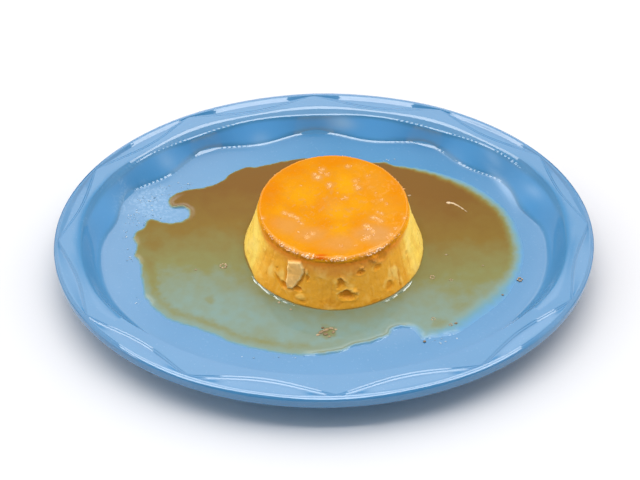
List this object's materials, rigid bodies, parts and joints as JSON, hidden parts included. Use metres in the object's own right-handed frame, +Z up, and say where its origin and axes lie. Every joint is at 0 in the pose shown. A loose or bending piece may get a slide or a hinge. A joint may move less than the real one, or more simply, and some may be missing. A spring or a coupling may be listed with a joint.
{
  "type": "creme caramel flan on an oval plate",
  "caption": "Small round creme caramel with a caramel top, standing in a thin uneven puddle of its sauce on a shallow oval plate with a scalloped rim.",
  "frame": {"origin": "middle of the plate's outline, on the surface it stands on", "axes": "+X along the plate's length, +Y across it away from the viewer, +Z up"},
  "size_m": [0.26, 0.2134, 0.0349],
  "materials": {
    "plate": "glossy sky blue melamine",
    "custard": "moist yellow set custard",
    "caramel": "wet orange caramel-soaked custard",
    "sauce": "clear thin brown caramel syrup"
  },
  "bodies": {
    "root": {"plate": "plate", "custard": "custard", "caramel_top": "caramel", "caramel_sauce": "sauce"}
  },
  "joints": []
}
